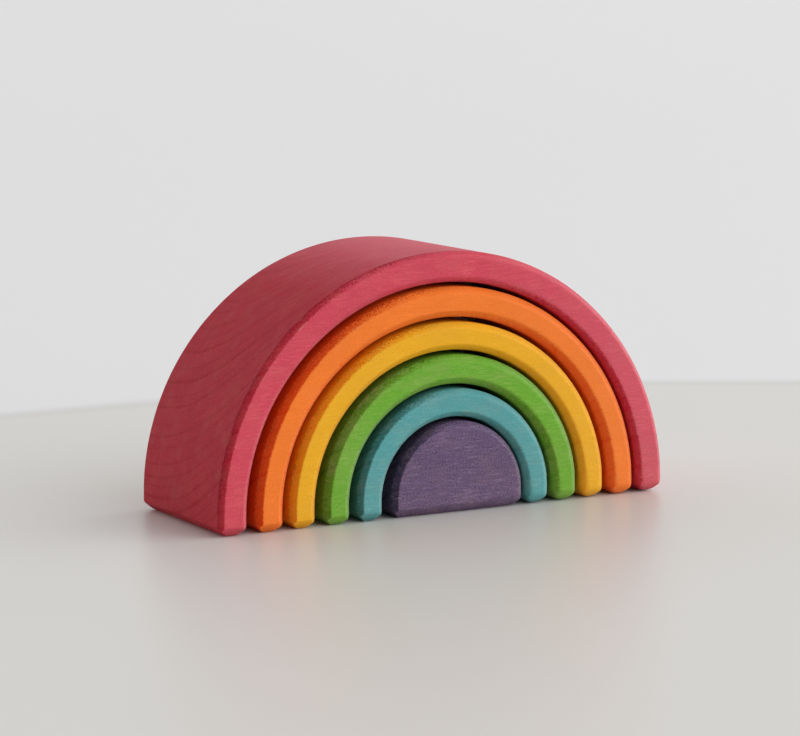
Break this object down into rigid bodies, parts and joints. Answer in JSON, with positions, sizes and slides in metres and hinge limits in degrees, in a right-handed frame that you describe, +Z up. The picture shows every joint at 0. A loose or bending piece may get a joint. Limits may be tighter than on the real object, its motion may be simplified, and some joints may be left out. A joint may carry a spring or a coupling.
{
  "type": "nesting rainbow stacker",
  "caption": "Nesting rainbow of stained wooden arches round a solid half-round core; every piece is loose and slides out through the arch around it.",
  "frame": {"origin": "on the table, under the middle of the outer arch", "axes": "+X to the right across the arch, +Y to the back along the tunnel, +Z up"},
  "size_m": [0.105, 0.04, 0.055],
  "materials": {
    "red_stain": "water stain, sanded and oiled, satin",
    "orange_stain": "water stain, sanded and oiled, satin",
    "yellow_stain": "water stain, sanded and oiled, satin",
    "green_stain": "water stain, sanded and oiled, satin",
    "teal_stain": "water stain, sanded and oiled, satin",
    "purple_stain": "water stain, sanded and oiled, satin"
  },
  "bodies": {
    "red_arch": {"red_arch": "red_stain"},
    "orange_arch": {"orange_arch": "orange_stain"},
    "yellow_arch": {"yellow_arch": "yellow_stain"},
    "green_arch": {"green_arch": "green_stain"},
    "teal_arch": {"teal_arch": "teal_stain"},
    "purple_core": {"purple_core": "purple_stain"}
  },
  "joints": [
    {"name": "orange_slide", "type": "slide", "parent": "red_arch", "child": "orange_arch", "axis": [0, -1, 0], "range_m": [-0.045, 0.045]},
    {"name": "yellow_slide", "type": "slide", "parent": "orange_arch", "child": "yellow_arch", "axis": [0, -1, 0], "range_m": [-0.045, 0.045]},
    {"name": "green_slide", "type": "slide", "parent": "yellow_arch", "child": "green_arch", "axis": [0, -1, 0], "range_m": [-0.045, 0.045]},
    {"name": "teal_slide", "type": "slide", "parent": "green_arch", "child": "teal_arch", "axis": [0, -1, 0], "range_m": [-0.045, 0.045]},
    {"name": "core_slide", "type": "slide", "parent": "teal_arch", "child": "purple_core", "axis": [0, -1, 0], "range_m": [-0.045, 0.045]}
  ]
}
